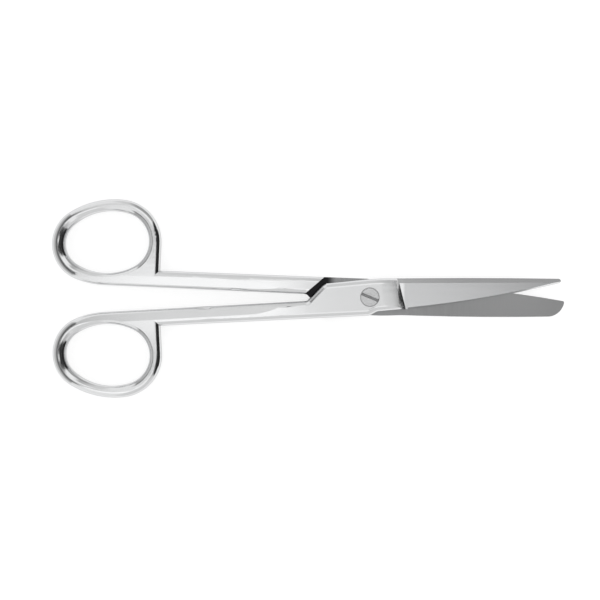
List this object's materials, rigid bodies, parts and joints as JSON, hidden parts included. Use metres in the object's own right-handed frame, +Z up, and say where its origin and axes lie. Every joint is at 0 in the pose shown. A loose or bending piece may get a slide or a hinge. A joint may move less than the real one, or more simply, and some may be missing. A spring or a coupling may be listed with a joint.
{
  "type": "operating scissors",
  "caption": "Straight all-steel operating scissors with one sharp and one blunt point, oval finger rings and a lap joint on a slotted screw, lying slightly open.",
  "frame": {"origin": "on the screw's axis, at the flat underside of the joint, which the scissors lie on", "axes": "+X along the centre line of the closed scissors towards the points, +Z up along the screw's axis towards its slotted head, +Y to the left of +X seen from above"},
  "size_m": [0.1446, 0.056, 0.0052],
  "materials": {
    "instrument_steel": "polished",
    "screw_steel": "satin"
  },
  "bodies": {
    "lower_body": {"lower_half": "instrument_steel", "pivot_screw": "screw_steel"},
    "upper_body": {"upper_half": "instrument_steel"}
  },
  "joints": [
    {"name": "pivot", "type": "hinge", "parent": "lower_body", "child": "upper_body", "pos_m": [0, 0, 0.0026], "axis": [0, 0, 1], "range_deg": [-5.7, 120]}
  ]
}
